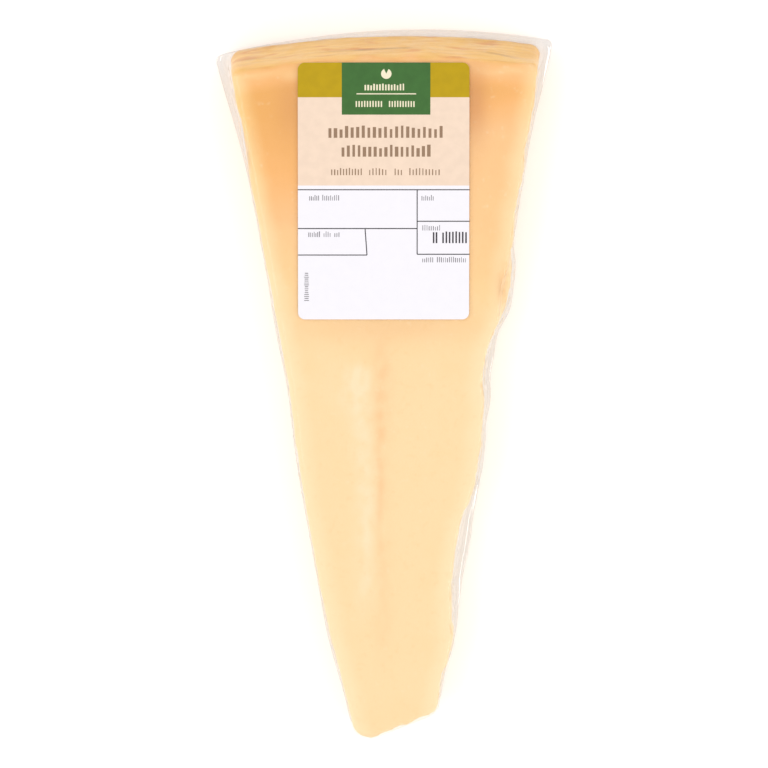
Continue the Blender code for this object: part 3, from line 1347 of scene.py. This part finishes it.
@dataclass(frozen=True)
class Word:
    """A run of upright bars on one line, in millimetres from the label's top left corner."""

    start: float
    end: float
    line: float
    bars: int


@dataclass(frozen=True)
class Print:
    """Lines of bars in one ink, which stand where the label had words."""

    name: str
    ink: Ink
    height: float
    width: float
    uneven: float
    layer: int
    words: tuple[Word, ...]
    seed: float = 5.0


@dataclass
class Label:
    """The paper label: fields of colour, ruled boxes and plain marks where there was print."""

    site: Site
    paper_thickness: float = 0.12 * MM
    ink: float = 0.02 * MM
    gap: float = 0.05 * MM
    drawn_height: float = 66.8
    corner: float = 1.8 * MM
    arc_steps: int = 10
    prints: tuple[Print, ...] = (
        Print(
            "label_title_marks", Ink.BROWN, 3.2, 0.92, 0.36, 2,
            (Word(7.6, 37.8, 19.5, 21), Word(11.0, 34.6, 24.4, 17)),
        ),
        Print(
            "label_subtitle_marks", Ink.BROWN, 1.9, 0.34, 0.35, 2,
            (
                Word(8.4, 16.8, 29.2, 11), Word(18.2, 23.2, 29.2, 6), Word(24.8, 27.2, 29.2, 3),
                Word(28.6, 37.0, 29.2, 10),
            ),
        ),
        Print("label_name_marks", Ink.CREAM, 1.75, 0.48, 0.30, 3, (Word(17.1, 27.7, 7.2, 14),)),
        Print(
            "label_line_marks", Ink.CREAM, 1.6, 0.36, 0.08, 3,
            (Word(14.8, 22.0, 11.5, 10), Word(23.4, 30.4, 11.5, 10)),
        ),
        Print(
            "label_caption_marks", Ink.GREY, 1.5, 0.22, 0.42, 1,
            (
                Word(2.8, 5.6, 35.8, 6), Word(6.2, 10.8, 35.8, 9), Word(31.9, 35.3, 35.8, 7),
                Word(32.1, 37.0, 43.6, 9), Word(2.6, 5.8, 45.3, 7), Word(6.5, 8.6, 45.3, 4),
                Word(9.3, 10.9, 45.3, 3), Word(32.1, 35.2, 51.9, 6), Word(35.9, 43.7, 51.9, 15),
            ),
        ),
        Print(
            "label_figure_marks", Ink.BLACK, 3.1, 0.42, 0.12, 1,
            (Word(34.8, 36.3, 46.9, 2), Word(37.2, 44.0, 46.9, 8)),
        ),
    )

    def __post_init__(self) -> None:
        """Places the label on the face."""
        self.left, self.bottom = self.site.label_low
        self.right, self.top = self.site.label_high
        self.scale = (self.top - self.bottom) / (self.drawn_height * MM)
        self.base = self.site.face_z + self.gap
        self.paper_top = self.base + self.paper_thickness

    def at(self, x: float, y: float) -> tuple[float, float]:
        """Gives the frame's X and Y for a place in millimetres from the label's left and top edges."""
        return self.left + x * MM, self.top - y * MM * self.scale

    def build(self) -> list[bpy.types.Object]:
        """Builds the label's paper and print.

        Returns:
            The label's objects.
        """
        whole = self._outline(0.0, self.drawn_height, True, True)
        paper = self._sheet("label_paper", whole, self.base, self.paper_thickness)
        paper.data.materials.append(Ink.PAPER.make())
        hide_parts("label")
        pieces = [paper]
        fields = (
            ("label_olive_band", Ink.OLIVE, self._outline(0.0, 9.0, True, False), 1),
            ("label_beige_field", Ink.BEIGE, self._outline(9.0, 31.9, False, False), 1),
            ("label_green_box", Ink.GREEN, self._box(11.4, 0.0, 34.3, 13.5), 2),
        )
        for name, ink, outline, layer in fields:
            piece = self._sheet(name, outline, self.paper_top, self.ink * layer)
            piece.data.materials.append(ink.make())
            pieces.append(piece)
        pieces += self._rules() + self._marks() + [self._wheel_mark()]
        for piece in pieces:
            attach(piece, BODY)
        return pieces

    def _outline(self, low: float, high: float, round_top: bool, round_bottom: bool) -> Outline:
        """Gives the outline of a full-width band of the label.

        Args:
            low: the band's top edge, in millimetres down from the label's top.
            high: its bottom edge.
            round_top: whether its top corners are the label's rounded ones.
            round_bottom: whether its bottom corners are.

        Returns:
            The outline, anticlockwise.
        """
        top, bottom = self.top - low * MM * self.scale, self.top - high * MM * self.scale
        corners = (
            (self.right, top, 0, round_top), (self.left, top, 1, round_top),
            (self.left, bottom, 2, round_bottom), (self.right, bottom, 3, round_bottom),
        )
        outline = []
        for x, y, quarter, is_round in corners:
            if not is_round:
                outline.append((x, y))
                continue
            inner_x = x - self.corner if quarter in (0, 3) else x + self.corner
            inner_y = y - self.corner if quarter in (0, 1) else y + self.corner
            for index in range(self.arc_steps + 1):
                angle = math.pi / 2 * (quarter + index / self.arc_steps)
                turn_x, turn_y = self.corner * math.cos(angle), self.corner * math.sin(angle)
                outline.append((inner_x + turn_x, inner_y + turn_y))
        return outline

    def _box(self, x0: float, y0: float, x1: float, y1: float) -> Outline:
        """Gives a square-cornered outline, anticlockwise, from its top left to its bottom right corner."""
        return [self.at(x1, y0), self.at(x0, y0), self.at(x0, y1), self.at(x1, y1)]

    def _sheet(self, name: str, outline: Outline, base: float, thickness: float) -> bpy.types.Object:
        """Makes a thin closed sheet with crisp edges.

        Args:
            name: the object's name.
            outline: its outline, anticlockwise.
            base: the height of its underside.
            thickness: its thickness.

        Returns:
            The sheet's object.
        """
        count = len(outline)
        low = [(x, y, base) for x, y in outline]
        high = [(x, y, base + thickness) for x, y in outline]
        faces = [tuple(reversed(range(count))), tuple(range(count, 2 * count))]
        faces += [(i, (i + 1) % count, count + (i + 1) % count, count + i) for i in range(count)]
        mesh = bpy.data.meshes.new(name)
        mesh.from_pydata(low + high, [], faces)
        mesh.update()
        return linked(name, mesh)

    def _rules(self) -> list[bpy.types.Object]:
        """Makes the ruled boxes and the cream rule.

        Returns:
            The rules' objects.
        """
        tree = rule_tree()
        boxes = (
            ((0.0, 33.0), (44.5, 33.0)), ((0.0, 43.1), (30.9, 43.1)), ((0.0, 50.0), (17.9, 50.0)),
            ((17.4, 43.1), (17.9, 50.0)), ((30.9, 33.0), (30.9, 49.8)), ((30.9, 41.2), (44.5, 41.2)),
            ((30.9, 49.8), (44.5, 49.8)),
        )
        made = []
        for name, ink, lines, width, layer in (
            ("label_box_rules", Ink.BLACK, boxes, 0.26 * MM, 1),
            ("label_cream_rule", Ink.CREAM, (((15.2, 8.1), (30.6, 8.1)),), 0.3 * MM, 3),
        ):
            points, edges = [], []
            for start, end in lines:
                edges.append((len(points), len(points) + 1))
                points += [(*self.at(*start), self.paper_top), (*self.at(*end), self.paper_top)]
            mesh = bpy.data.meshes.new(name)
            mesh.from_pydata(points, edges, [])
            values = {"Line Width": width, "Ink Height": 2 * layer * self.ink, "Finish": ink.make()}
            made.append(tree.make(mesh, name, values))
        return made

    def _marks(self) -> list[bpy.types.Object]:
        """Makes the plain bars that stand where the label carried print, and the column of bars at its left.

        Returns:
            The bars' objects.
        """
        tree = mark_tree()
        made = []
        for lines in self.prints:
            places = []
            for word in lines.words:
                pitch = (word.end - word.start) / word.bars
                steps = [word.start + (index + 0.5) * pitch for index in range(word.bars)]
                places += [(step, word.line) for step in steps]
            made.append(self._bars(tree, lines, places))
        code = Print("label_code_marks", Ink.GREY, 0.26, 1.25, 0.4, 1, (), 8.0)
        aside, top, bottom, count = 2.2, 54.6, 62.2, 15
        column = [(aside, top + (index + 0.5) * (bottom - top) / count) for index in range(count)]
        made.append(self._bars(tree, code, column))
        return made

    def _bars(self, tree: GeometryTree, lines: Print, places: Outline) -> bpy.types.Object:
        """Stands one ink's bars on their places.

        Args:
            tree: the tree that makes a bar on each point.
            lines: the bars' ink and sizes.
            places: each bar's place, in millimetres from the label's left and top edges.

        Returns:
            The bars' object.
        """
        mesh = bpy.data.meshes.new(lines.name)
        mesh.from_pydata([(*self.at(*place), self.paper_top) for place in places], [], [])
        values = {
            "Mark Width": lines.width * MM, "Mark Height": lines.height * MM,
            "Ink Height": 2 * lines.layer * self.ink, "Unevenness": lines.uneven,
            "Seed": lines.seed, "Finish": lines.ink.make(),
        }
        return tree.make(mesh, lines.name, values)

    def _wheel_mark(self) -> bpy.types.Object:
        """Makes the plain mark above the cream rule: a round cheese with one wedge out of it.

        Returns:
            The mark's object.
        """
        centre_x, centre_y = self.at(22.9, 2.9)
        radius, gap, turns = 1.35 * MM, math.radians(50), 28
        outline = [(centre_x, centre_y)]
        for index in range(turns + 1):
            angle = math.pi / 2 + gap / 2 + (2 * math.pi - gap) * index / turns
            outline.append((centre_x + radius * math.cos(angle), centre_y + radius * math.sin(angle)))
        mark = self._sheet("label_wheel_mark", outline, self.paper_top, 3 * self.ink)
        mark.data.materials.append(Ink.CREAM.make())
        return mark


# --- The studio -------------------------------------------------------------------------------------


@dataclass
class Studio:
    """A pale floor, soft light from above and a long-lens camera that looks down on the pack."""

    tilt: float = math.radians(10)
    distance: float = 2.2
    seen_height: float = 199.7 * MM
    sensor: float = 36.0
    floor_half: float = 4.0
    floor_drop: float = 0.3 * MM
    sky: float = 0.90
    aim_back: float = 0.83

    def build(self) -> None:
        """Sets up the floor, the lights, the camera and the view."""
        self._floor()
        self._lights()
        self._camera()
        scene = bpy.context.scene
        scene.view_settings.view_transform = "Standard"
        scene.view_settings.look = "None"

    def _floor(self) -> None:
        """Lays the floor."""
        half = self.floor_half
        corners = ((-half, -half), (half, -half), (half, half), (-half, half))
        mesh = bpy.data.meshes.new("studio_floor")
        mesh.from_pydata([(x, y, -self.floor_drop) for x, y in corners], [], [(0, 1, 2, 3)])
        mesh.materials.append(FloorFinish().make())
        linked("studio_floor", mesh)

    def _lights(self) -> None:
        """Hangs the soft lights and gives the studio its pale walls."""
        for name, place, size, power in (
            ("key_light", (-0.85, -0.15, 1.7), (0.6, 0.6), 3.8),
            ("fill_light", (0.9, 0.6, 1.7), (1.0, 1.0), 2.0),
            ("left_strip", (-1.3, 0.25, 0.62), (0.9, 0.25), 2.8),
            ("right_strip", (1.3, -0.3, 0.62), (0.9, 0.25), 2.8),
            ("tip_strip", (0.3, -1.4, 0.62), (0.9, 0.25), 1.6),
        ):
            lamp = bpy.data.lights.new(name, "AREA")
            lamp.shape = "RECTANGLE"
            lamp.size, lamp.size_y = size
            lamp.energy = power
            holder = bpy.data.objects.new(name, lamp)
            bpy.context.scene.collection.objects.link(holder)
            holder.location = place
            holder.rotation_euler = (-Vector(place)).to_track_quat("-Z", "Y").to_euler()
        world = bpy.data.worlds.new("studio_walls")
        world.use_nodes = True
        background = world.node_tree.nodes["Background"]
        background.inputs["Color"].default_value = (1.0, 1.0, 1.0, 1.0)
        background.inputs["Strength"].default_value = self.sky
        bpy.context.scene.world = world

    def _camera(self) -> None:
        """Sets the camera over the pack, tilted a little from the rind's end."""
        lens = bpy.data.cameras.new("camera")
        lens.sensor_width = self.sensor
        lens.lens = self.sensor * self.distance / self.seen_height
        lens.clip_end = 20.0
        camera = bpy.data.objects.new("camera", lens)
        bpy.context.scene.collection.objects.link(camera)
        low, high = CAD_BOUNDS
        target = Vector((0.0, 0.0, high[2]))
        target.y = self._middle_of_view(low, high)
        camera.location = target + self.distance * Vector((0.0, math.sin(self.tilt), math.cos(self.tilt)))
        camera.rotation_euler = (-self.tilt, 0.0, 0.0)
        bpy.context.scene.camera = camera

    def _middle_of_view(self, low: Any, high: Any) -> float:
        """Gives the Y, at the label's height, that falls in the middle of what the camera sees."""
        behind = (high[2] - low[2]) * math.tan(self.tilt)
        return (low[1] + high[1]) / 2 + self.aim_back * behind


def main() -> None:
    """Builds the pack's pieces in order, then the studio."""
    logging.basicConfig(level=logging.INFO, format="%(name)s: %(message)s")
    site = Site()
    relief = relief_tree()
    wedge = CheeseWedge(site).build(relief)
    film = FilmSkin(site).build(relief)
    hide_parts("sealed_pack")
    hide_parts("sealed_pack")
    label = Label(site).build()
    for piece in [wedge, film, *label]:
        LOG.info("%s: %d faces", piece.name, len(piece.data.polygons))
    Studio().build()


if __name__ == "__main__":
    main()
